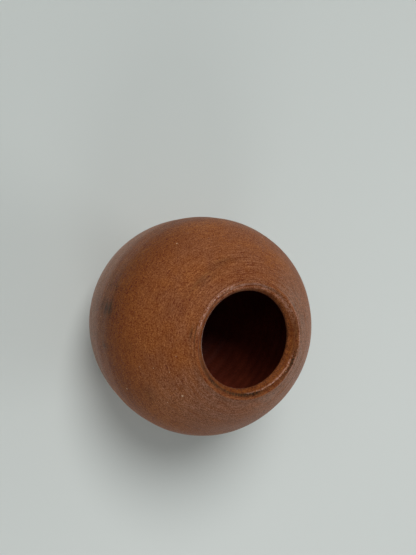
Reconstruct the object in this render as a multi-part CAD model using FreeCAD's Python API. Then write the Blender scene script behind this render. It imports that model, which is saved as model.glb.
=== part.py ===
"""Round ceramic bud vase.

A thrown stoneware shell stands on a luted foot ring and carries a narrow ring round its
mouth. Each clay piece is bedded on its neighbour in a thin layer of slip, and a glaze
lining makes the inside hold water. Millimetres, +Z up along the vase's axis, origin at
the centre of the face that the vase stands on.
"""

import FreeCAD, Part
import math
import os

# Driving dimensions
BELLY_R = 40.0  # outside radius at the widest point
SHOULDER_RISE = 35.9  # belly plane up to where the shoulder curve would close on the axis
SHOULDER_POWER = 1.84  # superellipse power of the shoulder: 2 is an ellipse, more is squarer
LOWER_DROP = 48.0  # belly plane down to where the lower curve would close on the axis
LOWER_POWER = 2.4
UNDERSIDE_DROP = 43.9  # belly plane down to the shell's flat underside
WALL = 4.0  # wall thickness at the belly and under the shoulder
FLOOR = 5.5
INSIDE_LOWER_POWER = 3.0  # rounder corner outside than inside, as a thrown floor has
SLIP = 0.3  # thickness of the slip in both joints
GLAZE = 0.4

MOUTH_R = 16.7  # clear radius of the mouth, at its throat
FLARE_START = 28.1  # above the belly plane: where the mouth starts to widen upwards
FLARE = 0.72  # how much its radius grows for each mm up
MOUTH_RING_R = 20.25  # outside radius of the ring round the mouth
MOUTH_RING_TOP = 30.5  # the ring's outer crest, above the belly plane
MOUTH_RING_HEIGHT = 1.6
LIP_DROP = 0.8  # the ring's inner crest is this much lower than its outer one
LIP_ROUND = 0.4  # rounding between the flare and the inner crest
TOP_HOLLOW = 0.3  # how far the ring's top face dips between its crests
OUTER_ROUND = 0.6  # rounding of the ring's outer top corner
CREASE_WIDTH = 0.25  # gap between ring and shoulder, part filled by slip
CREASE_DEPTH = 0.35
LINING_TOP_R = 17.1  # where the glaze stops, just behind the mouth's lower edge

FOOT_HEIGHT = 2.0
FOOT_OUTER_R = 19.8  # at the joint with the shell
FOOT_STANDING_R = 19.2  # outer edge of the standing face
FOOT_INNER_R = 14.4  # inner edge of the standing face
FOOT_INNER_TOP_R = 13.8
FOOT_ROUND = 0.5

# Heights from the standing face
BELLY_Z = FOOT_HEIGHT + SLIP + UNDERSIDE_DROP
UNDERSIDE_Z = FOOT_HEIGHT + SLIP
RING_TOP_Z = BELLY_Z + MOUTH_RING_TOP
RING_BOTTOM_Z = RING_TOP_Z - MOUTH_RING_HEIGHT
SEAT_Z = RING_BOTTOM_Z - SLIP
SEAT_R = MOUTH_RING_R + CREASE_WIDTH
FLARE_Z = BELLY_Z + FLARE_START

CURVE_POINTS = 12  # points that each superellipse curve passes through
CLEAR = 20.0  # how far the cutting shapes run past what they cut

AXIS = FreeCAD.Vector(0, 0, 1)
CENTRE = FreeCAD.Vector(0, 0, 0)


def point(radius, z):
    """A point of a section, in the XZ half plane that is turned about the axis."""
    return FreeCAD.Vector(radius, 0, z)


def line(start, end):
    return Part.LineSegment(start, end).toShape()


def arc(start, middle, end):
    return Part.Arc(start, middle, end).toShape()


def corner_arc(start, corner, end):
    """A quarter-circle-like rounding from start to end that bulges towards corner."""
    bulge = math.sqrt(0.5)
    middle = (start + end) * (1 - bulge) + corner * (2 * bulge - 1)
    return arc(start, middle, end)


def turned(edges):
    """The solid made by turning a closed section about the axis."""
    solid = Part.Face(Part.Wire(edges)).revolve(CENTRE, AXIS, 360)
    return solid if solid.Volume > 0 else solid.reversed()


def half_curve(radius, rise, power):
    """Superellipse from the belly plane to the axis, rise above it, or below it if rise is negative.

    It is upright at the belly and level at the axis, so that two halves make one smooth form.
    """
    points = []
    for i in range(CURVE_POINTS):
        angle = math.pi / 2 * i / CURVE_POINTS
        r = radius * math.cos(angle) ** (2 / power)
        points.append(point(r, BELLY_Z + rise * math.sin(angle) ** (2 / power)))
    points.append(point(0, BELLY_Z + rise))
    curve = Part.BSplineCurve()
    upright = FreeCAD.Vector(0, 0, math.copysign(1, rise))
    inward = FreeCAD.Vector(-1, 0, 0)
    curve.interpolate(Points=points, InitialTangent=upright, FinalTangent=inward)
    return curve.toShape()


def closed_form(radius, shoulder_rise, shoulder_power, lower_drop, lower_power):
    """A solid round form with no opening, which the shell and its inside are cut from."""
    upper = half_curve(radius, shoulder_rise, shoulder_power)
    lower = half_curve(radius, -lower_drop, lower_power)
    spine = line(point(0, BELLY_Z - lower_drop), point(0, BELLY_Z + shoulder_rise))
    return turned([upper, spine, lower])


def cylinder(radius, bottom, top):
    return Part.makeCylinder(radius, top - bottom, point(0, bottom), AXIS)


def mouth_radius(z):
    return MOUTH_R + FLARE * max(0, z - FLARE_Z)


def mouth_form():
    """The way in through the mouth: an upright throat that widens above it."""
    top = RING_TOP_Z + CLEAR
    flare = Part.makeCone(MOUTH_R, mouth_radius(top), top - FLARE_Z, point(0, FLARE_Z), AXIS)
    return cylinder(MOUTH_R, BELLY_Z, FLARE_Z).fuse(flare)


def inside_form(skin):
    """The hollow of the shell, made smaller all round by skin."""
    return closed_form(
        BELLY_R - WALL - skin,
        SHOULDER_RISE - WALL - skin,
        SHOULDER_POWER,
        UNDERSIDE_DROP - FLOOR - skin,
        INSIDE_LOWER_POWER,
    )


def vase_body():
    """Thrown shell: cut flat below, hollow, with a mouth and a rebate that the mouth ring sits in."""
    outside = closed_form(BELLY_R, SHOULDER_RISE, SHOULDER_POWER, LOWER_DROP, LOWER_POWER)
    below = cylinder(BELLY_R, UNDERSIDE_Z - CLEAR, UNDERSIDE_Z)
    rebate = cylinder(SEAT_R, SEAT_Z, RING_TOP_Z + CLEAR)
    return outside.cut([below, inside_form(0.0), mouth_form(), rebate])


def mouth_ring():
    """Ring bedded in the rebate: flared lip, top face hollowed and falling inwards, round outer corner."""
    crest_z = RING_TOP_Z - LIP_DROP
    lip_r = mouth_radius(crest_z)
    shoulder_r = MOUTH_RING_R - OUTER_ROUND
    bottom_in = point(mouth_radius(RING_BOTTOM_Z), RING_BOTTOM_Z)
    lip_low = point(mouth_radius(crest_z - LIP_ROUND), crest_z - LIP_ROUND)
    lip_corner = point(lip_r, crest_z)
    inner_crest = point(lip_r + LIP_ROUND, crest_z)
    hollow = point((inner_crest.x + shoulder_r) / 2, RING_TOP_Z - LIP_DROP / 2 - TOP_HOLLOW)
    outer_crest = point(shoulder_r, RING_TOP_Z)
    outer_corner = point(MOUTH_RING_R, RING_TOP_Z)
    outer_low = point(MOUTH_RING_R, RING_TOP_Z - OUTER_ROUND)
    bottom_out = point(MOUTH_RING_R, RING_BOTTOM_Z)
    return turned(
        [
            line(bottom_in, lip_low),
            corner_arc(lip_low, lip_corner, inner_crest),
            arc(inner_crest, hollow, outer_crest),
            corner_arc(outer_crest, outer_corner, outer_low),
            line(outer_low, bottom_out),
            line(bottom_out, bottom_in),
        ]
    )


def mouth_ring_slip():
    """Slip under the mouth ring and up its side, stopping below the shoulder so that a crease stays open."""
    shoulder_z = BELLY_Z + SHOULDER_RISE * (1 - (SEAT_R / BELLY_R) ** SHOULDER_POWER) ** (
        1 / SHOULDER_POWER
    )
    bed = cylinder(SEAT_R, SEAT_Z, shoulder_z - CREASE_DEPTH)
    ring_space = cylinder(MOUTH_RING_R, RING_BOTTOM_Z, RING_TOP_Z)
    return bed.cut([ring_space, mouth_form()])


def foot_ring():
    """Low ring luted under the shell. The vase stands on its lower face."""
    top_out = point(FOOT_OUTER_R, FOOT_HEIGHT)
    top_in = point(FOOT_INNER_TOP_R, FOOT_HEIGHT)
    side_out = point(FOOT_STANDING_R + FOOT_ROUND * 0.8, FOOT_ROUND)
    stand_out = point(FOOT_STANDING_R, 0)
    stand_in = point(FOOT_INNER_R, 0)
    side_in = point(FOOT_INNER_R - FOOT_ROUND * 0.8, FOOT_ROUND)
    corner_out = point(side_out.x, 0)
    corner_in = point(side_in.x, 0)
    return turned(
        [
            line(top_in, top_out),
            line(top_out, side_out),
            corner_arc(side_out, corner_out, stand_out),
            line(stand_out, stand_in),
            corner_arc(stand_in, corner_in, side_in),
            line(side_in, top_in),
        ]
    )


def foot_ring_slip():
    """Flat layer of slip between the foot ring and the shell's underside."""
    layer = cylinder(FOOT_OUTER_R, FOOT_HEIGHT, UNDERSIDE_Z)
    return layer.cut(cylinder(FOOT_INNER_TOP_R, FOOT_HEIGHT - CLEAR, UNDERSIDE_Z + CLEAR))


def interior_glaze():
    """Glaze lining the whole inside, from the floor to just behind the mouth."""
    mouth = cylinder(LINING_TOP_R, BELLY_Z, RING_TOP_Z + CLEAR)
    return inside_form(0.0).cut([inside_form(GLAZE), mouth])


NODES = [vase_body, mouth_ring, mouth_ring_slip, foot_ring, foot_ring_slip, interior_glaze]

os.makedirs("parts", exist_ok=True)
for make in NODES:
    shape = make()
    shape.exportStep("parts/" + make.__name__ + ".step")
    print(make.__name__, "valid", shape.isValid(), "solids", len(shape.Solids), "mm3", round(shape.Volume))
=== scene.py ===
"""Looks of the round ceramic bud vase: thrown, unglazed red-brown stoneware in soft light.

Everything is in metres in the CAD model's frame, with the vase's axis along +Z.
"""

import math

import bpy
import numpy as np
from mathutils import Matrix, Vector


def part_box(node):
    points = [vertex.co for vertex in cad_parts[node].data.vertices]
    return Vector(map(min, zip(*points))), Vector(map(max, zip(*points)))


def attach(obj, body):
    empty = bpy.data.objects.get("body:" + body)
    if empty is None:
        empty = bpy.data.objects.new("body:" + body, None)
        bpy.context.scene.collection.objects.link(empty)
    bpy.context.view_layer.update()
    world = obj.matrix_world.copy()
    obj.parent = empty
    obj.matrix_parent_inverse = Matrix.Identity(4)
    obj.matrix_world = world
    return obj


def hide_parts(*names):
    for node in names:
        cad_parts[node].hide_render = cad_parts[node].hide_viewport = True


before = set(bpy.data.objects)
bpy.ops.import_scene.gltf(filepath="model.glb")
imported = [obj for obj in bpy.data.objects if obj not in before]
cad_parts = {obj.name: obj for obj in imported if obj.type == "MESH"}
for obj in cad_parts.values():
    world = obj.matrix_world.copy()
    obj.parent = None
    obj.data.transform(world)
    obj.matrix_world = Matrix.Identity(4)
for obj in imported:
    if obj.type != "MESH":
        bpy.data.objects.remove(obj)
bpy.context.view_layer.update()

MM = 0.001

# ---------------------------------------------------------------- sizes, from the frame
BODY_LOW, BODY_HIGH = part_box("vase_body")
RING_LOW, RING_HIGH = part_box("mouth_ring")
SLIP_LOW, SLIP_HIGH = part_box("mouth_ring_slip")
FOOT_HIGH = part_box("foot_ring")[1]
LINING_LOW, LINING_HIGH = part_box("interior_glaze")

BELLY_R = BODY_HIGH.x
UNDERSIDE_Z = BODY_LOW.z
SEAT_R = SLIP_HIGH.x
SEAT_Z = SLIP_LOW.z
RING_R = RING_HIGH.x
RING_TOP_Z = RING_HIGH.z
RING_BOTTOM_Z = RING_LOW.z
FOOT_R = FOOT_HIGH.x
FOOT_TOP_Z = FOOT_HIGH.z
INSIDE_R = LINING_HIGH.x
INSIDE_FLOOR_Z = LINING_LOW.z
LINING_TOP_Z = LINING_HIGH.z

# The curves between them, as in the CAD model
BELLY_Z = UNDERSIDE_Z + 1.0975 * BELLY_R
SHOULDER_RISE = 0.8975 * BELLY_R
INSIDE_RISE = SHOULDER_RISE - (BELLY_R - INSIDE_R)
SHOULDER_POWER = 1.84
LOWER_DROP = 1.2 * BELLY_R
LOWER_POWER = 2.4
INSIDE_DROP = BELLY_Z - INSIDE_FLOOR_Z
INSIDE_LOWER_POWER = 3.0
MOUTH_R = 0.4175 * BELLY_R
FLARE_Z = BELLY_Z + 0.7025 * BELLY_R
FLARE = 0.72  # how much the mouth's radius grows for each mm above FLARE_Z
LIP_DROP = 0.02 * BELLY_R  # the mouth ring's inner crest is this much lower than its outer one
GLAZE = 0.4 * MM
LINING_TOP_R = MOUTH_R + GLAZE

# ---------------------------------------------------------------- where the camera stands
# The azimuth of the side that lies about at the bottom of the picture. All sides are counted in
# degrees round from it, so the camera itself stands at side -90.
VIEW_AZIMUTH = math.radians(110)
AXIS_TILT = math.radians(28.5)  # between the vase's axis and the line of sight
AXIS_TURN = math.radians(-12.8)  # which way the axis leans in the picture, from level right
BELLY_IN_VIEW = Vector((-0.009, -0.449, -7.32)) * BELLY_R  # right, up and towards the eye
LENS_MM = 51.9
SENSOR_MM = 36.0


def camera_matrix():
    """Where the camera stands, from how the vase's axis and belly lie in its view."""
    axis = Vector(
        (
            math.sin(AXIS_TILT) * math.cos(AXIS_TURN),
            math.sin(AXIS_TILT) * math.sin(AXIS_TURN),
            math.cos(AXIS_TILT),
        )
    )
    back = -BELLY_IN_VIEW
    back = (back - back.dot(axis) * axis).normalized()
    across = axis.cross(back)
    turn = Matrix((across, -back, axis)).transposed().to_4x4()
    to_view = Matrix.Translation(BELLY_IN_VIEW) @ turn @ Matrix.Translation((0, 0, -BELLY_Z))
    return Matrix.Rotation(VIEW_AZIMUTH, 4, "Z") @ to_view.inverted()


def add_camera():
    data = bpy.data.cameras.new("camera")
    data.lens = LENS_MM
    data.sensor_width = SENSOR_MM
    data.clip_start = 0.01
    camera = bpy.data.objects.new("camera", data)
    bpy.context.scene.collection.objects.link(camera)
    camera.matrix_world = camera_matrix()
    bpy.context.scene.camera = camera


# ---------------------------------------------------------------- sections
def superellipse(radius, rise, power, start, end, step):
    """Points (r, z) on a quarter superellipse, evenly spaced. Its angle is 0 at the belly plane."""
    angles = np.linspace(start, end, 600)
    r = radius * np.clip(np.cos(angles), 0, 1) ** (2 / power)
    z = BELLY_Z + rise * np.clip(np.sin(angles), 0, 1) ** (2 / power)
    return spaced(np.stack([r, z], 1), step)


def spaced(points, step):
    """The line through some points, as points at even spacing along it."""
    points = np.asarray(points, float)
    leg = np.linalg.norm(np.diff(points, axis=0), axis=1)
    along = np.concatenate([[0], np.cumsum(leg)])
    at = np.linspace(0, along[-1], max(2, int(round(along[-1] / step)) + 1))
    return np.stack([np.interp(at, along, points[:, i]) for i in (0, 1)], 1)


def joined(*runs):
    """Runs of points end to end, each starting where the one before it stops."""
    return np.vstack([runs[0]] + [run[1:] for run in runs[1:]])


def angle_at_radius(radius, form_radius, power):
    return math.acos((radius / form_radius) ** (power / 2))


def angle_at_drop(drop, form_drop, power):
    return math.asin((drop / form_drop) ** (power / 2))


def mouth_radius(z):
    return MOUTH_R + FLARE * max(0, z - FLARE_Z)


def skin_section():
    """The shell's outer skin, from the edge of its underside up to the rebate."""
    start = angle_at_drop(BELLY_Z - UNDERSIDE_Z, LOWER_DROP, LOWER_POWER)
    end = angle_at_radius(SEAT_R, BELLY_R, SHOULDER_POWER)
    return joined(
        superellipse(BELLY_R, -LOWER_DROP, LOWER_POWER, start, 0, 0.6 * MM),
        superellipse(BELLY_R, SHOULDER_RISE, SHOULDER_POWER, 0, end, 0.34 * MM),
    )


def inside_section(skin, top_radius, step):
    """The inside of the shell, less skin all round, from the mouth to the middle of the floor."""
    start = angle_at_radius(top_radius, INSIDE_R - skin, SHOULDER_POWER)
    upper = superellipse(INSIDE_R - skin, INSIDE_RISE - skin, SHOULDER_POWER, start, 0, step)
    lower = superellipse(
        INSIDE_R - skin, skin - INSIDE_DROP, INSIDE_LOWER_POWER, 0, math.pi / 2, step
    )
    return joined(upper, lower)


# ---------------------------------------------------------------- uneven handwork
random = np.random.default_rng(7)


def wave(at, shortest, longest, count):
    """A smooth uneven line, about -1 to 1: count sine waves of lengths between two limits."""
    total = 0
    for length in random.uniform(shortest, longest, count):
        total = total + np.sin(2 * math.pi * at / length + random.uniform(0, 2 * math.pi))
    return total * 0.85 / math.sqrt(count)


def around(azimuth, fewest, most, count=3):
    """A smooth uneven line round the vase that meets itself, about -1 to 1."""
    total = 0
    for turns in random.integers(fewest, most + 1, count):
        total = total + np.sin(turns * azimuth + random.uniform(0, 2 * math.pi))
    return total * 0.85 / math.sqrt(count)


def smooth_step(x, low, high):
    t = np.clip((x - low) / (high - low), 0, 1)
    return t * t * (3 - 2 * t)


def turn_from(azimuth, side):
    """The turn from a side to each azimuth, in radians, up to half a turn either way."""
    return np.angle(np.exp(1j * (azimuth - VIEW_AZIMUTH - math.radians(side))))


def near_side(azimuth, side, half_width, fade):
    """1 within half_width of a side, fading to 0 beyond it, all in degrees."""
    away = np.degrees(np.abs(turn_from(azimuth, side)))
    return 1 - smooth_step(away, half_width, half_width + fade)


def sheen_greying(azimuth, on_shoulder=1, on_front=1):
    """How strongly painted sheen greys the clay, on the shoulder away from the camera and in front."""
    shoulder = 0.8 * near_side(azimuth, 95, 50, 35) * on_shoulder
    front = 0.35 * near_side(azimuth, 15, 38, 40) * on_front
    return np.maximum(shoulder, front)


OUT_OF_ROUND = 0.15 * MM
THROWING_SWELL = 0.06 * MM
TOOL_LINE = 0.012 * MM


def skin_relief(azimuth, along, length):
    """How far the skin stands out from its smooth form, along it from underside to mouth."""
    ends = smooth_step(along, 0, 3 * MM) * smooth_step(length - along, 0.2 * MM, 1.2 * MM)
    lobes = np.cos(2 * azimuth - 1.2) + 0.5 * np.cos(3 * azimuth + 1.0)
    drift = 0.8 * MM * around(azimuth, 1, 3)
    swell = wave(along + drift, 9 * MM, 17 * MM, 4)
    lines = wave(along + 0.15 * drift, 1.2 * MM, 3.2 * MM, 9) * (1 + 0.7 * around(azimuth, 2, 7))
    near_mouth = 1 + 1.6 * smooth_step(along, length - 11 * MM, length - 2 * MM)
    near_mouth = near_mouth * (1 + 1.2 * near_side(azimuth, 80, 40, 30))
    return ends * (OUT_OF_ROUND * lobes + THROWING_SWELL * swell + TOOL_LINE * lines * near_mouth)


# ---------------------------------------------------------------- meshes
def outward(section):
    """Unit normals of a section that runs with its material on the left."""
    along = np.gradient(section, axis=0)
    normal = np.stack([along[:, 1], -along[:, 0]], 1)
    return normal / np.maximum(np.linalg.norm(normal, axis=1, keepdims=True), 1e-12)


def circle(count):
    """Evenly spaced azimuths, as a column."""
    return np.linspace(0, 2 * math.pi, count, endpoint=False)[:, None]


HARD_EDGE = math.radians(40)

# How many azimuths each mesh has
SHELL_COUNT = 320
RING_COUNT = 480
LINING_COUNT = 240
FOOT_COUNT = 320


def turned_mesh(name, r, z):
    """A mesh from sections: r and z hold one row of points for each azimuth.

    Sections that start and end on the axis close there. Others are loops round the material.
    """
    segments = len(r)
    to_axis = r[0, 0] < 1e-9 and r[0, -1] < 1e-9
    ends = [(0, 0, z[0, 0]), (0, 0, z[0, -1])]
    if to_axis:
        r, z = r[:, 1:-1], z[:, 1:-1]
    rings = r.shape[1]
    azimuth = circle(segments)
    points = np.stack([r * np.cos(azimuth), r * np.sin(azimuth), z], 2).reshape(-1, 3)
    here = (np.arange(segments) * rings)[:, None]
    there = np.roll(here, -1, axis=0)
    step = np.arange(rings if not to_axis else rings - 1)[None, :]
    after = (step + 1) % rings
    quads = np.stack([here + step, there + step, there + after, here + after], 2).reshape(-1, 4)
    faces = quads.tolist()
    if to_axis:
        first = len(points)
        points = np.vstack([points, ends])
        for a, b in zip(here[:, 0].tolist(), there[:, 0].tolist()):
            faces.append((first, b, a))
            faces.append((first + 1, a + rings - 1, b + rings - 1))
    mesh = bpy.data.meshes.new(name)
    mesh.from_pydata(points.tolist(), [], faces)
    mesh.polygons.foreach_set("use_smooth", [True] * len(mesh.polygons))
    mesh.update()
    mesh.set_sharp_from_angle(angle=HARD_EDGE)
    return mesh


def paint(mesh, name, values):
    """Stores a value on each of a turned mesh's points, for its material to read."""
    values = np.asarray(values, np.float32).ravel()
    attribute = mesh.attributes.new(name, "FLOAT", "POINT")
    attribute.data.foreach_set("value", np.resize(values, len(mesh.vertices)))


def add_piece(mesh, slot, material, *nodes):
    mesh.materials.append(material)
    piece = bpy.data.objects.new(mesh.name, mesh)
    bpy.context.scene.collection.objects.link(piece)
    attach(piece, "root")
    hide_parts(*nodes)
    return piece


def rows(section, segments):
    """A section repeated for each azimuth, with the azimuths as a column."""
    r = np.repeat(section[None, :, 0], segments, 0)
    z = np.repeat(section[None, :, 1], segments, 0)
    return circle(segments), r, z


def body_mesh():
    """The thrown shell, closed: underside, outer skin, rebate, mouth's edge, inside, floor."""
    skin = skin_section()
    mouth_low = inside_section(0, MOUTH_R, MM)[0]
    underside = spaced([(0, UNDERSIDE_Z), skin[0]], 2 * MM)
    rebate = spaced([skin[-1], (SEAT_R, SEAT_Z)], 0.4 * MM)
    seat = spaced([(SEAT_R, SEAT_Z), (mouth_radius(SEAT_Z), SEAT_Z)], 1.2 * MM)
    edge = spaced([(mouth_radius(SEAT_Z), SEAT_Z), (MOUTH_R, FLARE_Z), mouth_low], 0.3 * MM)
    section = joined(underside, skin, rebate, seat, edge, inside_section(0, MOUTH_R, 1.6 * MM))
    azimuth, r, z = rows(section, SHELL_COUNT)
    first = len(underside) - 1
    skin_rows = slice(first, first + len(skin))
    leg = np.linalg.norm(np.diff(skin, axis=0), axis=1)
    along = np.concatenate([[0], np.cumsum(leg)])
    push = skin_relief(azimuth, along[None, :], along[-1])
    normal = outward(skin)
    r[:, skin_rows] += push * normal[:, 0]
    z[:, skin_rows] += push * normal[:, 1]
    return turned_mesh("thrown_shell", r, z)


CREST_Z = RING_TOP_Z - LIP_DROP
LIP_Z = CREST_Z - 0.4 * MM  # where the flared mouth starts to round over into the ring's top
LIP_R = mouth_radius(CREST_Z) + 0.45 * MM  # where that rounding ends
CORNER_ROUND = 0.5 * MM
SOFT_CORNER = 0.5 * MM  # how much wider the rounding is where the ring was smoothed into the shoulder
SMOOTHED = (-15, 55, 30)  # side of the ring, half width and fade in degrees
GROOVED = (60, 28, 28)  # the same for the groove
GROOVE_TURN = math.radians(80)  # how far round the groove winds outwards
GROOVE_START = 1.75 * MM  # from the mouth's edge to the groove where it starts
GROOVE_WIND = 1.0 * MM  # how much further out it ends
GROOVE_DEPTH = 0.42 * MM
GROOVE_HALF_WIDTH = 0.48 * MM
BURR_HEIGHT = 0.13 * MM
BURR_HALF_WIDTH = 0.35 * MM
GROOVE_TO_BURR = 0.75 * MM


def ridge(x, middle, half_width):
    return np.exp(-(((x - middle) / half_width) ** 2))


def bend(start, corner, end, count):
    """A smooth curve from start to end that leaves and arrives along the lines to corner."""
    t = np.linspace(0, 1, count)
    return (1 - t) ** 2 * start + 2 * t * (1 - t) * corner + t**2 * end


def groove_radius(azimuth):
    """The groove that a finger left in the ring's top: it winds outwards over nearly a quarter turn."""
    share = 0.5 + turn_from(azimuth, 52) / GROOVE_TURN
    return MOUTH_R + GROOVE_START + GROOVE_WIND * np.clip(share, 0, 1)


def ring_outline(azimuth):
    """The ring's smooth loops, as r and z: lip, top, outer corner, wall, and its bed in the rebate."""
    ones = np.ones_like(azimuth)
    soft = near_side(azimuth, *SMOOTHED)
    corner_r = RING_R - CORNER_ROUND - SOFT_CORNER * soft
    corner_z = RING_TOP_Z - CORNER_ROUND - 0.1 * MM * soft

    lip_rs = bend(mouth_radius(LIP_Z) * ones, mouth_radius(CREST_Z) * ones, LIP_R * ones, 9)
    lip_zs = bend(LIP_Z * ones, CREST_Z * ones, CREST_Z * ones, 9)
    top_rs = LIP_R + (corner_r - LIP_R) * np.linspace(0, 1, 34)[None, 1:]
    top_zs = CREST_Z + LIP_DROP * smooth_step(top_rs, LIP_R, RING_R - 0.55 * MM)
    level = top_zs[:, -1:]
    corner_rs = bend(corner_r, RING_R * ones, RING_R * ones, 11)[:, 1:]
    corner_zs = bend(level, level, corner_z, 11)[:, 1:]
    wall_zs = corner_z + (RING_BOTTOM_Z - corner_z) * np.linspace(0, 1, 5)[None, 1:]
    wall_rs = RING_R * np.ones_like(wall_zs)

    bed_r = mouth_radius(RING_BOTTOM_Z)
    bed = spaced([(RING_R, RING_BOTTOM_Z), (bed_r, RING_BOTTOM_Z)], 0.5 * MM)[1:]
    wall_in = spaced([bed[-1], (mouth_radius(LIP_Z), LIP_Z)], 0.15 * MM)[1:-1]
    plain = np.vstack([bed, wall_in])
    r = np.hstack([lip_rs, top_rs, corner_rs, wall_rs, ones * plain[:, 0]])
    z = np.hstack([lip_zs, top_zs, corner_zs, wall_zs, ones * plain[:, 1]])
    return r[:, ::-1], z[:, ::-1]


def mark(azimuth, r, sides, middle, half_width):
    """A line along the ring, 1 at a radius and on some sides: side, half width and fade in degrees."""
    return near_side(azimuth, *sides) * ridge(r, middle, half_width)


def ring_highlights(azimuth, r, burr_r):
    """Painted highlights on the ring: along its outer corner, on parts of its top, and on the burr, and
    a painted lighter inner half on the side where the top lies in shade.
    """
    inner_half = 1 - smooth_step(r, RING_R - 1.2 * MM, RING_R - 0.4 * MM)
    highlight = 0.4 * mark(azimuth, r, (106, 30, 22), RING_R - 0.2 * MM, 0.28 * MM)
    highlight = highlight + 0.6 * mark(azimuth, r, (-113, 22, 16), RING_R - 0.6 * MM, 0.62 * MM)
    highlight = highlight + 0.2 * near_side(azimuth, -174, 36, 30) * inner_half
    return highlight + 0.75 * mark(azimuth, r, (56, 22, 20), burr_r, 0.3 * MM)


def ring_slip_and_shade(azimuth, r, groove_r):
    """Painted shade on the ring, with some dark slip: in the groove and past its ends, and on parts of
    the lip that face away from the light.
    """
    broken = 0.6 + 0.8 * around(azimuth, 90, 150, 8)
    in_groove = 0.75 * mark(azimuth, r, (58, 26, 24), groove_r + 0.15 * MM, 0.6 * MM)
    dark = in_groove * (0.6 + 0.4 * broken)
    dark = dark + 0.4 * mark(azimuth, r, (106, 14, 22), RING_R - 0.9 * MM, 0.75 * MM)
    dark = dark + 0.42 * mark(azimuth, r, (4, 28, 22), MOUTH_R + 1.7 * MM, 0.5 * MM) * broken
    dark = dark + 0.4 * mark(azimuth, r, (172, 8, 12), RING_R - 1.4 * MM, 0.5 * MM)
    lip = 1 - smooth_step(r, LIP_R, LIP_R + 1.3 * MM)
    return dark + (0.52 * near_side(azimuth, -8, 36, 30) + 0.3 * near_side(azimuth, 124, 22, 24)) * lip


def ring_wash_and_bounce(azimuth, r):
    """How strong the iron-brown is: full on the lip, as painted warm bounce light, thin over the ring's
    top, and mostly left off one side, a painted lighter patch where the top lies in shade.
    """
    lip = 1 - smooth_step(r, LIP_R - 0.2 * MM, LIP_R + 0.4 * MM)
    top = 0.45 * (1 - smooth_step(r, RING_R - 0.9 * MM, RING_R - 0.3 * MM))
    return np.maximum(lip, top) * (1 - 0.85 * near_side(azimuth, -172, 36, 30))


def ring_mesh():
    """The ring round the mouth, with its groove and burr, its tool lines, and its painted values:
    painted highlights, painted shade with dark slip, and iron-brown with painted warm bounce light.
    """
    azimuth = circle(RING_COUNT)
    r, z = ring_outline(azimuth)
    upper = smooth_step(z, RING_BOTTOM_Z + 0.4 * MM, CREST_Z)
    facing_up = upper * smooth_step(r, MOUTH_R + 0.9 * MM, MOUTH_R + 1.5 * MM)
    grooved = near_side(azimuth, *GROOVED)
    groove_r = groove_radius(azimuth) + 0.07 * MM * around(azimuth, 8, 40, 5)
    depth = GROOVE_DEPTH * (0.12 + 0.88 * grooved) * (1 + 0.3 * around(azimuth, 4, 20))
    depth = depth * (1 + 0.5 * around(azimuth, 50, 100, 6))
    groove = depth * ridge(r, groove_r, GROOVE_HALF_WIDTH)
    burr_r = groove_r - GROOVE_TO_BURR
    burr = BURR_HEIGHT * grooved * ridge(r, burr_r, BURR_HALF_WIDTH)
    lines = 0.012 * MM * wave(r + 0.1 * MM * around(azimuth, 1, 5), 0.35 * MM, 0.9 * MM, 6)
    z = z + facing_up * (burr - groove + lines) + upper * 0.05 * MM * around(azimuth, 1, 4)
    # Painted highlights, painted shade with dark slip, and iron-brown with painted warm bounce light
    highlight = ring_highlights(azimuth, r, burr_r)
    dark = ring_slip_and_shade(azimuth, r, groove_r)
    wash_bounce_and_shade = ring_wash_and_bounce(azimuth, r)
    r = r + upper * 0.07 * MM * around(azimuth, 1, 4)
    mesh = turned_mesh("mouth_ring_thrown", r, z)
    paint(mesh, "highlight", highlight * upper)
    paint(mesh, "smudge_and_shade", dark * upper)
    paint(mesh, "wash_bounce_and_shade", wash_bounce_and_shade)
    return mesh


CREASED = (-79, 4, 8)  # where the crease round the ring is open: side, half width and fade in degrees


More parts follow.
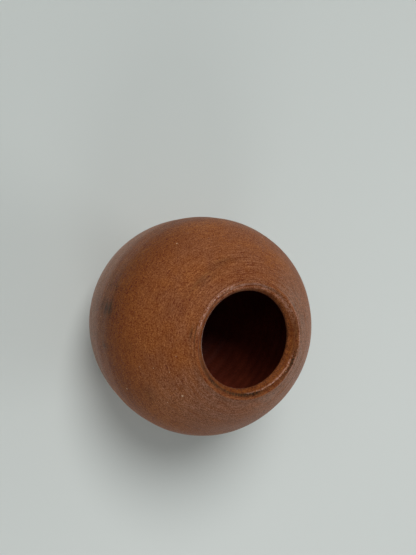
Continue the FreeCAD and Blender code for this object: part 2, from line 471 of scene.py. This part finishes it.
def slip_mesh():
    """Slip in the joint under the mouth ring. It is wiped into a fillet, wide where it was smoothed."""
    skin = skin_section()
    shoulder = skin[skin[:, 1] > BELLY_Z]
    azimuth = circle(RING_COUNT)
    ones = np.ones_like(azimuth)
    soft = near_side(azimuth, *SMOOTHED)
    crease = near_side(azimuth, *CREASED)
    reach = (0.25 + 0.85 * soft) * (1 - 0.8 * crease) * (1 + 0.2 * around(azimuth, 3, 9)) * MM
    rise = (0.32 + 0.08 * soft) * (1 - 0.9 * crease) * MM
    foot_r = SEAT_R + reach
    foot_z = np.interp(foot_r, shoulder[::-1, 0], shoulder[::-1, 1])
    seat_z = shoulder[-1, 1]
    dip = 0.12 * MM * crease

    seat = [(mouth_radius(SEAT_Z), SEAT_Z), (SEAT_R, SEAT_Z), (SEAT_R, seat_z - 0.15 * MM)]
    below = spaced(seat, 0.5 * MM)
    face_rs = bend(foot_r, (RING_R + 0.1 * MM) * ones, (RING_R - 0.15 * MM) * ones, 10)
    face_zs = bend(foot_z + 0.012 * MM, seat_z + 0.05 * MM - dip, seat_z + rise, 10)
    over = np.linspace(0, 1, 5)[None, 1:-1]
    under_rs = SEAT_R + (foot_r - SEAT_R) * over
    under_zs = seat_z + (foot_z - seat_z) * over - 0.03 * MM
    back = spaced([(RING_R, RING_BOTTOM_Z), (mouth_radius(RING_BOTTOM_Z), RING_BOTTOM_Z)], 0.6 * MM)
    r = np.hstack([ones * below[:, 0], under_rs, face_rs, ones * back[:, 0]])
    z = np.hstack([ones * below[:, 1], under_zs, face_zs, ones * back[:, 1]])
    mesh = turned_mesh("mouth_ring_slip_bed", r, z)
    # Painted warm bounce light in the throat
    paint(mesh, "wash_bounce_and_shade", 1 - smooth_step(r, MOUTH_R + 0.6 * MM, MOUTH_R + 0.9 * MM))
    # Painted shade in the open crease
    paint(mesh, "smudge_and_shade", crease * smooth_step(r, RING_R - 0.5 * MM, RING_R))
    # Painted sheen on the slip, as on the shoulder next to it
    paint(mesh, "painted_sheen", sheen_greying(azimuth) * np.ones_like(r))
    return mesh


FINGER_RIDGE = 0.12 * MM
FINGER_RIDGE_STEP = 4.5 * MM


def lining_mesh():
    """The glaze: its back on the shell's inside, its face following the potter's finger ridges."""
    back = inside_section(0, LINING_TOP_R, 1.5 * MM)
    face = inside_section(GLAZE, LINING_TOP_R, 0.6 * MM)
    edge = spaced([back[0], face[0]], 0.2 * MM)
    azimuth, r, z = rows(joined(back[::-1], edge, face), LINING_COUNT)
    leg = np.linalg.norm(np.diff(face, axis=0), axis=1)
    along = np.concatenate([[0], np.cumsum(leg)])
    turns = (along + 0.7 * MM * around(azimuth, 1, 3)) / FINGER_RIDGE_STEP
    fade = smooth_step(along, MM, 6 * MM) * smooth_step(face[:, 0], 0, 6 * MM)
    push = FINGER_RIDGE * (1 + np.sin(2 * math.pi * turns)) * fade
    normal = outward(face)
    r[:, -len(face):] += push * normal[:, 0]
    z[:, -len(face):] += push * normal[:, 1]
    return turned_mesh("lining_glaze", r, z)


def foot_mesh():
    """The foot ring: trimmed sides with tool lines and a worn, rounded standing edge."""
    inner_r = 0.345 * BELLY_R
    stand_out = 0.48 * BELLY_R
    stand_in = 0.36 * BELLY_R
    rounding = 0.5 * MM
    quarter = np.linspace(0, math.pi / 2, 7)
    edge_out = [
        (stand_out + 0.8 * rounding * math.sin(a), rounding * (1 - math.cos(a))) for a in quarter
    ]
    edge_in = [
        (stand_in - 0.8 * rounding * math.cos(a), rounding * (1 - math.sin(a))) for a in quarter
    ]
    loop = joined(
        np.array(edge_in),
        spaced([edge_in[-1], edge_out[0]], 0.3 * MM),
        np.array(edge_out),
        spaced([edge_out[-1], (FOOT_R, FOOT_TOP_Z)], 0.15 * MM),
        spaced([(FOOT_R, FOOT_TOP_Z), (inner_r, FOOT_TOP_Z)], MM),
        spaced([(inner_r, FOOT_TOP_Z), edge_in[0]], 0.15 * MM),
    )[1:]
    azimuth, r, z = rows(loop, FOOT_COUNT)
    side = smooth_step(z, 0.1 * MM, 0.5 * MM) * smooth_step(FOOT_TOP_Z - z, 0.05 * MM, 0.4 * MM)
    lines = 0.03 * MM * wave(z + 0.05 * MM * around(azimuth, 1, 3), 0.4 * MM, 0.9 * MM, 4)
    outer = np.where(r > stand_in + 2 * MM, 1, -1)
    r = r + side * outer * (lines - 0.03 * MM)
    stand = smooth_step(-z, -0.05 * MM, 0)
    scratches = wave(r + 0.1 * MM * around(azimuth, 1, 4), 0.7 * MM, 1.6 * MM, 4)
    z = z + stand * 0.02 * MM * (1 + scratches)
    return turned_mesh("foot_ring_trimmed", r, np.maximum(z, 0))


# ---------------------------------------------------------------- materials
def linear(red, green, blue):
    """A colour given as 0 to 255 sRGB values, as linear red, green, blue and alpha."""
    values = [c / 255 for c in (red, green, blue)]
    return [c / 12.92 if c <= 0.04045 else ((c + 0.055) / 1.055) ** 2.4 for c in values] + [1]


# Painted sheen: grey that the limbs and shoulder take from reflected light
SHEEN_GREY = linear(130, 98, 80)
# Iron-brown: a tint on the ring's top, painted warm bounce light in the throat, and painted shade in a
# band on the shell
WASH_BOUNCE_AND_SHADE = linear(112, 55, 10)
# Dark slip for smudges, and the colour of painted shade in the groove, the crease and shaded parts
DARK_SLIP_AND_SHADE = linear(60, 34, 10)
# The colour of the painted highlights on the ring
PAINTED_HIGHLIGHT = linear(186, 138, 114)
PALE_GRIT = linear(196, 164, 134)


class Shader:
    """A material under construction, with short ways to add the nodes that it needs."""

    def __init__(self, name, roughness, specular=0.5):
        self.material = bpy.data.materials.new(name)
        self.material.use_nodes = True
        self.tree = self.material.node_tree
        self.surface = self.tree.nodes["Principled BSDF"]
        self.surface.inputs["Roughness"].default_value = roughness
        self.surface.inputs["Specular IOR Level"].default_value = specular
        where = self.tree.nodes.new("ShaderNodeTexCoord").outputs["Object"]
        self.place = self.vector("SCALE", where, scale=1 / MM)  # in millimetres

    def put(self, socket, value):
        if isinstance(value, bpy.types.NodeSocket):
            self.tree.links.new(value, socket)
        else:
            socket.default_value = value

    def math(self, operation, *values):
        node = self.tree.nodes.new("ShaderNodeMath")
        node.operation = operation
        for socket, value in zip(node.inputs, values):
            self.put(socket, value)
        return node.outputs[0]

    def plus(self, first, *others):
        for other in others:
            first = self.math("ADD", first, other)
        return first

    def times(self, first, *others):
        for other in others:
            first = self.math("MULTIPLY", first, other)
        return first

    def less(self, first, other):
        return self.math("SUBTRACT", first, other)

    def vector(self, operation, *values, scale=None):
        node = self.tree.nodes.new("ShaderNodeVectorMath")
        node.operation = operation
        for socket, value in zip(node.inputs, values):
            self.put(socket, value)
        if scale is not None:
            self.put(node.inputs["Scale"], scale)
        return node.outputs["Value" if operation in ("LENGTH", "DISTANCE") else "Vector"]

    def apart(self, vector):
        node = self.tree.nodes.new("ShaderNodeSeparateXYZ")
        self.put(node.inputs[0], vector)
        return node.outputs

    def together(self, x, y, z):
        node = self.tree.nodes.new("ShaderNodeCombineXYZ")
        for socket, value in zip(node.inputs, (x, y, z)):
            self.put(socket, value)
        return node.outputs[0]

    def noise(self, vector, scale, detail=2.0, roughness=0.5):
        """Noise from 0 to 1, with its middle near 0.5. scale is in cells per unit of vector."""
        node = self.tree.nodes.new("ShaderNodeTexNoise")
        self.put(node.inputs["Vector"], vector)
        self.put(node.inputs["Scale"], scale)
        self.put(node.inputs["Detail"], detail)
        self.put(node.inputs["Roughness"], roughness)
        return node.outputs["Fac"]

    def cells(self, vector, scale, randomness=1.0):
        """The distance to the nearest of many scattered points, and that point's own random colour."""
        node = self.tree.nodes.new("ShaderNodeTexVoronoi")
        self.put(node.inputs["Vector"], vector)
        self.put(node.inputs["Scale"], scale)
        self.put(node.inputs["Randomness"], randomness)
        return node.outputs["Distance"], node.outputs["Color"]

    def span(self, value, low, high, to_low=0.0, to_high=1.0):
        """value taken smoothly from the range low to high to another range."""
        node = self.tree.nodes.new("ShaderNodeMapRange")
        node.interpolation_type = "SMOOTHSTEP"
        for socket, number in zip(node.inputs, (value, low, high, to_low, to_high)):
            self.put(socket, number)
        return node.outputs[0]

    def mix(self, share, first, second):
        """first where share is 0, second where it is 1. Both are colours."""
        node = self.tree.nodes.new("ShaderNodeMix")
        node.data_type = "RGBA"
        self.put(node.inputs["Factor"], share)
        self.put(next(i for i in node.inputs if i.identifier == "A_Color"), first)
        self.put(next(i for i in node.inputs if i.identifier == "B_Color"), second)
        return next(o for o in node.outputs if o.type == "RGBA")

    def painted(self, name):
        """A value painted on the mesh's points."""
        node = self.tree.nodes.new("ShaderNodeAttribute")
        node.attribute_name = name
        return node.outputs["Fac"]

    def finish(self, colour, roughness, height, bump_mm):
        """Sets colour and roughness, and a bump of bump_mm where height goes from 0 to 1."""
        self.put(self.surface.inputs["Base Color"], colour)
        self.put(self.surface.inputs["Roughness"], roughness)
        bump = self.tree.nodes.new("ShaderNodeBump")
        bump.inputs["Strength"].default_value = 1.0
        bump.inputs["Distance"].default_value = bump_mm * MM
        self.put(bump.inputs["Height"], height)
        self.put(self.surface.inputs["Normal"], bump.outputs[0])
        return self.material


# Pale grit that shows in the skin: side, degrees down from the mouth as seen from the belly's
# middle, and radius in mm
GRIT = [(-30, 49, 0.46), (-50, 49, 0.24), (-54, 57, 0.22), (-129, 71, 0.3), (-42, 79, 0.35)]


def skin_place(side, down):
    """The point on the shell's skin at a side and a number of degrees down from the mouth."""
    skin = skin_section()
    polar = np.degrees(np.arctan2(skin[::-1, 0], skin[::-1, 1] - BELLY_Z))
    r = np.interp(down, polar, skin[::-1, 0])
    z = np.interp(down, polar, skin[::-1, 1])
    azimuth = VIEW_AZIMUTH + math.radians(side)
    return np.array([r * math.cos(azimuth), r * math.sin(azimuth), z])


# How strongly red, green and blue follow the grain: pale grain is greyer, and dark grain warmer
FOLLOWS_GRAIN = (0.68, 1.2, 2.4)
COMBED_SIDE = math.radians(-145)  # where the comb's lines are strongest


def clay(name, warm, cool, streaks=1.0, sheen=0.19):
    """Unglazed stoneware turned about the vase's axis.

    Its colour drifts from warm to cool, with fine grain, dark pits, scattered pale grit and the
    long thin lines that a rib drags round. Painted values say where dark slip smudges it and painted
    shade darkens it, where painted highlights and painted sheen lie, and where an iron-brown tint,
    partly painted warm bounce light and painted shade, makes it browner.
    """
    shade = Shader(name, roughness=0.7, specular=0.2)
    x, y, z = shade.apart(shade.place)
    radius = shade.math("SQRT", shade.plus(shade.times(x, x), shade.times(y, y)))
    east = shade.math("DIVIDE", x, radius)
    north = shade.math("DIVIDE", y, radius)
    polar = shade.math("ARCTAN2", radius, shade.less(z, BELLY_Z / MM))  # 0 at the mouth's middle
    along = shade.times(polar, BELLY_R / MM)

    def turning(round_cells, cells_per_mm):
        """Places for noise that is drawn out round the axis: cells round it, and cells per mm along."""
        k = round_cells / (2 * math.pi)
        return shade.together(
            shade.times(east, k),
            shade.times(north, k),
            shade.times(along, cells_per_mm),
        )

    drift = shade.noise(shade.place, 0.07, 3.0, 0.55)
    cloud = shade.noise(shade.place, 0.35, 2.0, 0.5)
    grain = shade.noise(shade.place, 2.3, 2.0, 0.8)
    line = shade.noise(turning(18, 0.9), 1.0, 3.0, 0.6)
    hair = shade.noise(turning(70, 2.8), 1.0, 2.0, 0.75)
    comb = shade.noise(turning(12, 2.2), 1.0, 2.0, 0.6)
    patch = shade.noise(turning(10, 0.22), 1.0, 2.0, 0.6)

    near_mouth = shade.span(polar, 1.25, 0.6)
    to_comb = VIEW_AZIMUTH + COMBED_SIDE
    comb_side = shade.plus(
        shade.times(east, math.cos(to_comb)),
        shade.times(north, math.sin(to_comb)),
    )
    combed = shade.times(
        near_mouth,
        shade.span(cloud, 0.4, 0.6, 0.3, 1.0),
        shade.span(comb_side, 0.4, 0.9, 0.4, 1.0),
    )

    pit_distance, pit_random = shade.cells(shade.place, 1.35)
    pit_kind = shade.apart(pit_random)
    crowd = shade.plus(shade.span(patch, 0.38, 0.62, 0.3, 0.8), shade.times(near_mouth, 0.3))
    pit_size = shade.times(shade.span(pit_kind[0], 0.5, 1.0, 0.0, 0.3), crowd)
    pit = shade.span(shade.less(pit_size, pit_distance), -0.12, 0.06)
    speck = shade.math("GREATER_THAN", pit_kind[1], 0.9985)
    speck = shade.times(speck, shade.span(pit_distance, 0.36, 0.16))
    for side, down, size in GRIT:
        away = shade.vector("DISTANCE", shade.place, tuple(skin_place(side, down) / MM))
        speck = shade.math("MAXIMUM", speck, shade.span(away, size, 0.5 * size))

    unevenness = (
        (grain, shade.plus(4.1, shade.span(polar, 1.0, 1.5, 0.0, 1.3))),
        (cloud, shade.span(polar, 1.2, 1.5, 0.12, 0.5)),
        (line, shade.span(polar, 1.2, 1.5, 0.4 * streaks, 0.75 * streaks)),
        (hair, shade.span(polar, 1.2, 1.5, 1.5 * streaks, 2.0 * streaks)),
        (patch, shade.span(polar, 1.25, 1.5, 0.1, 0.7 * streaks)),
        (comb, shade.times(combed, 2.8 * streaks)),
    )
    level = 1.0
    for value, strength in unevenness:
        level = shade.plus(level, shade.times(shade.less(value, 0.5), strength))
    level = shade.times(level, shade.span(pit, 0.0, 1.0, 1.0, 0.45))
    level = shade.math("MAXIMUM", level, 0.1)
    calm = shade.span(polar, 1.6, 2.1, 1.0, 0.6)  # less uneven below the belly
    step = shade.times(shade.less(level, 1.0), calm)
    level = shade.plus(step, 1.0)

    # Painted values: painted sheen, dark slip with painted shade, painted highlights, and iron-brown
    # that is partly painted warm bounce light and painted shade
    painted_sheen = shade.times(shade.painted("painted_sheen"), shade.span(line, 0.36, 0.6, 0.5, 1.05))
    smudge_and_shade = shade.times(shade.painted("smudge_and_shade"), shade.span(line, 0.35, 0.62, 0.5, 1.2))
    highlight = shade.times(shade.painted("highlight"), shade.span(hair, 0.3, 0.6, 0.5, 1.1))
    colour = shade.mix(shade.span(drift, 0.36, 0.64), warm, cool)
    colour = shade.mix(painted_sheen, colour, SHEEN_GREY)
    colour = shade.mix(shade.times(shade.painted("wash_bounce_and_shade"), 0.9), colour, WASH_BOUNCE_AND_SHADE)
    colour = shade.mix(shade.math("MINIMUM", smudge_and_shade, 1.0), colour, DARK_SLIP_AND_SHADE)
    colour = shade.mix(shade.math("MINIMUM", highlight, 1.0), colour, PAINTED_HIGHLIGHT)
    follows = [shade.math("MULTIPLY_ADD", step, share, 1.0) for share in FOLLOWS_GRAIN]
    warm_level = shade.together(*[shade.math("MAXIMUM", value, 0.05) for value in follows])
    grey_level = shade.together(level, level, level)
    colour = shade.vector("MULTIPLY", colour, shade.mix(painted_sheen, warm_level, grey_level))
    colour = shade.mix(speck, colour, PALE_GRIT)

    height = shade.plus(
        shade.times(grain, 0.9),
        shade.times(hair, 0.7 * streaks),
        shade.times(line, 0.4 * streaks),
        shade.times(comb, combed, 0.9 * streaks),
    )
    height = shade.less(height, shade.times(pit, 0.8))
    roughness = shade.span(grain, 0.3, 0.7, 0.62, 0.82)
    shade.surface.inputs["Sheen Weight"].default_value = sheen
    shade.surface.inputs["Sheen Roughness"].default_value = 0.3
    shade.surface.inputs["Sheen Tint"].default_value = linear(255, 250, 245)
    return shade.finish(colour, roughness, height, 0.13)


def lining():
    """Thin iron-brown liner glaze over the clay: satin, a little uneven in colour and gloss."""
    shade = Shader("lining_glaze", roughness=0.6, specular=0.08)
    broad = shade.noise(shade.place, 0.12, 2.0)
    fine = shade.noise(shade.place, 1.4, 3.0, 0.6)
    colour = shade.mix(shade.span(broad, 0.35, 0.65), linear(113, 48, 31), linear(100, 41, 27))
    level = shade.span(fine, 0.25, 0.75, 0.75, 1.2)
    colour = shade.vector("SCALE", colour, scale=level)
    return shade.finish(colour, shade.span(fine, 0.3, 0.7, 0.45, 0.6), fine, 0.05)


def paper():
    """The pale floor: almost plain, with the faintest mottle, and a painted light gradient that
    lightens it towards one side.
    """
    shade = Shader("pale_floor", roughness=0.8, specular=0.2)
    soft = shade.noise(shade.place, 0.004, 2.0)
    # Painted light: a gradient that lightens the floor towards one side
    to_painted_light = VIEW_AZIMUTH + math.radians(66)
    x, y, _ = shade.apart(shade.place)
    across = shade.plus(
        shade.times(x, math.cos(to_painted_light)),
        shade.times(y, math.sin(to_painted_light)),
    )
    painted_light = shade.span(across, -160, 160)
    colour = shade.mix(painted_light, linear(203, 209, 206), linear(220, 225, 222))
    colour = shade.mix(shade.span(soft, 0.3, 0.7, 0.0, 0.3), colour, linear(214, 220, 217))
    return shade.finish(colour, shade.span(soft, 0.3, 0.7, 0.78, 0.84), soft, 0.01)


# ---------------------------------------------------------------- marks painted on the shell
# Each smudge: side, degrees down from the mouth as seen from the belly's middle, half length
# round and down in mm, and strength
SMUDGES = [
    (-121, 45, 5.0, 1.6, 0.34),
    (-143, 47.5, 5.5, 1.5, 0.34),
    (-133, 43, 4.0, 1.2, 0.2),
    (-83, 87.5, 2.5, 3.0, 0.75),
    (-80, 36.4, 2.2, 0.5, 0.7),
    (-64, 89, 0.9, 2.0, 0.5),
    (-94, 88, 1.2, 4.5, 0.25),
    (-84, 100, 3.0, 6.0, 0.25),
    (-37, 66, 3.0, 2.5, 0.25),
    (-66, 70, 2.5, 2.0, 0.15),
]


def paint_shell(mesh):
    """Paints the shell's dark smudges and bands of painted shade, its painted sheen, and its
    iron-brown: painted warm bounce light in the mouth and a band of painted shade.
    """
    points = np.zeros(len(mesh.vertices) * 3)
    mesh.vertices.foreach_get("co", points)
    x, y, z = points.reshape(-1, 3).T
    azimuth = np.arctan2(y, x)
    below_mouth = np.degrees(np.arctan2(np.hypot(x, y), z - BELLY_Z))

    smudge_and_shade = np.zeros(len(x))
    for side, down, half_round, half_down, strength in SMUDGES:
        across = turn_from(azimuth, side) * np.hypot(x, y) / (half_round * MM)
        below = np.radians(below_mouth - down) * BELLY_R / (half_down * MM)
        smudge_and_shade += strength * np.exp(-(across**2) - below**2)
    # Painted shade: a dim patch and a darker belt low on the left side, where the light falls off
    smudge_and_shade += 0.16 * near_side(azimuth, -84, 14, 30) * ridge(below_mouth, 91, 9)
    smudge_and_shade += 0.28 * near_side(azimuth, -126, 46, 36) * ridge(below_mouth, 95, 16)
    paint(mesh, "smudge_and_shade", smudge_and_shade)

    # Painted sheen: grey low on the side nearest the camera, where the limb reflects the pale room, and
    # on the shoulder and in front
    low = smooth_step(below_mouth, 89, 113) * (0.1 + 0.6 * near_side(azimuth, -92, 30, 60))
    grey = sheen_greying(azimuth, smooth_step(below_mouth, 62, 36), smooth_step(below_mouth, 80, 50))
    paint(mesh, "painted_sheen", low + grey)

    # Painted shade: a darker, warmer band on the left side; in the mouth, painted warm bounce light
    warm = near_side(azimuth, -84, 34, 36) * ridge(below_mouth, 80, 15)
    warm = warm + 0.2 * near_side(azimuth, -78, 16, 24) * ridge(below_mouth, 52, 12)
    in_mouth = (np.hypot(x, y) < MOUTH_R + 0.8 * MM) & (z > LINING_TOP_Z - 0.2 * MM)
    paint(mesh, "wash_bounce_and_shade", np.where(in_mouth, 1, warm))


# ---------------------------------------------------------------- stage and light
FLOOR_REACH = 6.0


def add_floor():
    mesh = bpy.data.meshes.new("floor")
    corners = [(x, y, 0) for x, y in ((-1, -1), (1, -1), (1, 1), (-1, 1))]
    mesh.from_pydata([Vector(corner) * FLOOR_REACH for corner in corners], [], [(0, 1, 2, 3)])
    mesh.materials.append(paper())
    floor = bpy.data.objects.new("floor", mesh)
    bpy.context.scene.collection.objects.link(floor)


# Each light: side, degrees up, and watts per square metre
WINDOW = (-143, 53, 1.87)
SECOND_WINDOW = (-105, 45, 0.15)
PALE_WALL_RIGHT = (100, 18, 0.6)
PALE_WALL_FRONT = (15, 30, 0.34)
LIGHT_WIDTH = math.radians(28)  # how wide each one looks from the vase
ROOM_HIGH = 0.16  # brightness of the pale room overhead
ROOM_LOW = 0.45  # and level with the vase


def add_soft_light(side, up, strength):
    """A large soft light, far enough off to light the whole floor evenly."""
    data = bpy.data.lights.new("soft_light", "SUN")
    data.energy = strength
    data.angle = LIGHT_WIDTH
    lamp = bpy.data.objects.new("soft_light", data)
    bpy.context.scene.collection.objects.link(lamp)
    azimuth = VIEW_AZIMUTH + math.radians(side)
    up = math.radians(up)
    level = math.cos(up)
    direction = Vector((level * math.cos(azimuth), level * math.sin(azimuth), math.sin(up)))
    lamp.location = Vector((0, 0, BELLY_Z)) + direction
    lamp.rotation_mode = "QUATERNION"
    lamp.rotation_quaternion = direction.to_track_quat("Z", "Y")


def add_light():
    """Soft windows at the picture's top left and left, two pale walls, and the room's own light."""
    for light in (WINDOW, SECOND_WINDOW, PALE_WALL_RIGHT, PALE_WALL_FRONT):
        add_soft_light(*light)
    world = bpy.data.worlds.new("room")
    bpy.context.scene.world = world
    world.use_nodes = True
    tree = world.node_tree
    height = tree.nodes.new("ShaderNodeSeparateXYZ")
    tree.links.new(tree.nodes.new("ShaderNodeTexCoord").outputs["Generated"], height.inputs[0])
    strength = tree.nodes.new("ShaderNodeMapRange")
    strength.interpolation_type = "SMOOTHSTEP"
    for socket, value in zip(list(strength.inputs)[1:5], (0.0, 0.6, ROOM_LOW, ROOM_HIGH)):
        socket.default_value = value
    tree.links.new(height.outputs["Z"], strength.inputs[0])
    background = tree.nodes["Background"]
    background.inputs["Color"].default_value = linear(246, 250, 249)
    tree.links.new(strength.outputs[0], background.inputs["Strength"])


# ---------------------------------------------------------------- the vase
add_camera()
add_light()
add_floor()

shell = body_mesh()
paint_shell(shell)
shell_clay = clay("clay_shell", linear(139, 78, 33), linear(130, 74, 39))
ring_clay = clay("clay_mouth_ring", linear(138, 77, 34), linear(129, 74, 40), streaks=1.1, sheen=0.08)
foot_clay = clay("clay_foot_ring", linear(132, 74, 33), linear(123, 70, 38), streaks=1.2)
add_piece(shell, "clay_body", shell_clay, "vase_body")
add_piece(ring_mesh(), "clay_mouth_ring", ring_clay, "mouth_ring")
slip = clay("slip", linear(131, 73, 32), linear(121, 69, 37), streaks=0.9)
add_piece(slip_mesh(), "slip", slip, "mouth_ring_slip")
add_piece(lining_mesh(), "lining_glaze", lining(), "interior_glaze")
add_piece(foot_mesh(), "clay_foot_ring", foot_clay, "foot_ring")
foot_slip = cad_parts["foot_ring_slip"]
foot_slip.data.materials.clear()
foot_slip.data.materials.append(slip)

bpy.context.scene.view_settings.view_transform = "Standard"
